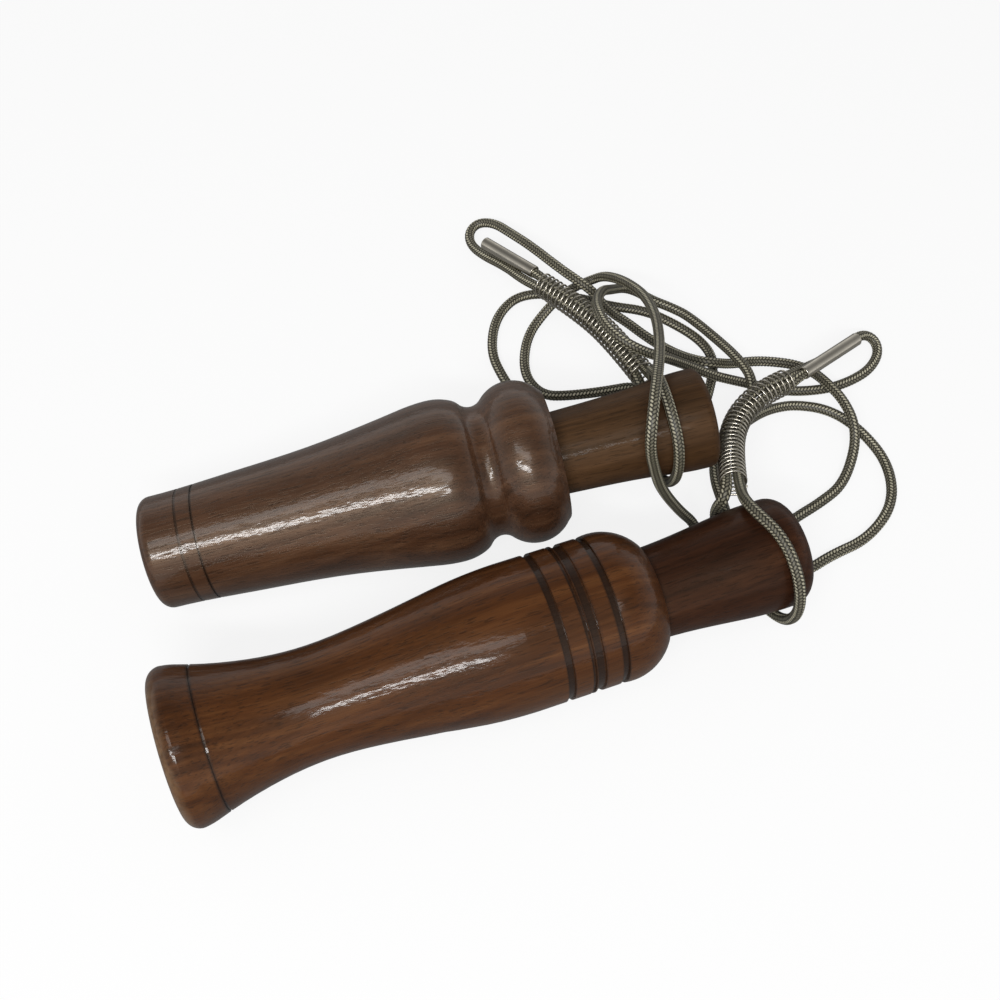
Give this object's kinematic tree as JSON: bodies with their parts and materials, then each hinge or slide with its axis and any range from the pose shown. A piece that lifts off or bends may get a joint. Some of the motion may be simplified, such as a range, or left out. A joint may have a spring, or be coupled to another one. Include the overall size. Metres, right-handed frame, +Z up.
{
  "type": "bird call",
  "caption": "Pair of turned wooden duck calls on a braided cord lanyard; air blown through the barrel sounds a reed on a tone board.",
  "frame": {"origin": "on the table top under the middle of the box round the two calls, the cord and its fittings left out", "axes": "+Z up from the table, +X from the mouth ends towards the exhaust ends as the pair lies, +Y away from the camera"},
  "size_m": [0.1803, 0.1709, 0.0433],
  "materials": {
    "grey_brown_wood": "gloss",
    "red_brown_wood": "gloss",
    "dark_red_wood": "gloss",
    "tone_board_plastic": "satin",
    "reed_film": "matte",
    "cork": "matte",
    "black_rubber": "matte",
    "braided_cord": "woven",
    "spring_wire": "bright nickel",
    "nickel_tube": "bright nickel"
  },
  "bodies": {
    "inserts_and_lanyard": {"upper_insert": "grey_brown_wood", "upper_tone_board": "tone_board_plastic", "upper_wedge": "cork", "upper_ring_front": "black_rubber", "upper_ring_rear": "black_rubber", "lower_insert": "dark_red_wood", "lower_tone_board": "tone_board_plastic", "lower_wedge": "cork", "lower_ring_front": "black_rubber", "lower_ring_rear": "black_rubber", "cord_upper_noose": "braided_cord", "cord_neck_out": "braided_cord", "cord_neck_middle": "braided_cord", "cord_neck_in": "braided_cord", "cord_lower_noose": "braided_cord", "upper_keeper_spring": "spring_wire", "lower_keeper_spring": "spring_wire", "upper_ferrule": "nickel_tube", "lower_ferrule": "nickel_tube"},
    "upper_barrel_body": {"upper_barrel": "grey_brown_wood"},
    "lower_barrel_body": {"lower_barrel": "red_brown_wood"},
    "upper_reed_body": {"upper_reed": "reed_film"},
    "lower_reed_body": {"lower_reed": "reed_film"},
    "lower_reed_top_body": {"lower_reed_top": "reed_film"}
  },
  "joints": [
    {"name": "upper_barrel_pull", "type": "slide", "parent": "inserts_and_lanyard", "child": "upper_barrel_body", "axis": [-0.9692, -0.2295, -0.0889], "range_m": [0, 0.07]},
    {"name": "upper_reed_flex", "type": "hinge", "parent": "inserts_and_lanyard", "child": "upper_reed_body", "pos_m": [-0.00483, 0.02689, 0.01981], "axis": [-0.2304, 0.9731, 0], "range_deg": [0, 1.5], "stiffness_Nm_per_rad": 0.01},
    {"name": "lower_barrel_pull", "type": "slide", "parent": "inserts_and_lanyard", "child": "lower_barrel_body", "axis": [-0.9418, -0.3361, 0.0052], "range_m": [0, 0.07]},
    {"name": "lower_reed_flex", "type": "hinge", "parent": "inserts_and_lanyard", "child": "lower_reed_body", "pos_m": [0.01563, -0.0091, 0.01754], "axis": [-0.3361, 0.9418, 0], "range_deg": [0, 1.5], "stiffness_Nm_per_rad": 0.01},
    {"name": "lower_reed_top_flex", "type": "hinge", "parent": "inserts_and_lanyard", "child": "lower_reed_top_body", "pos_m": [0.01563, -0.0091, 0.01754], "axis": [-0.3361, 0.9418, 0], "range_deg": [0, 1.5], "stiffness_Nm_per_rad": 0.01}
  ],
  "couplings": [
    {"joint": "lower_reed_top_flex", "follows": "lower_reed_flex", "ratio": 1}
  ]
}
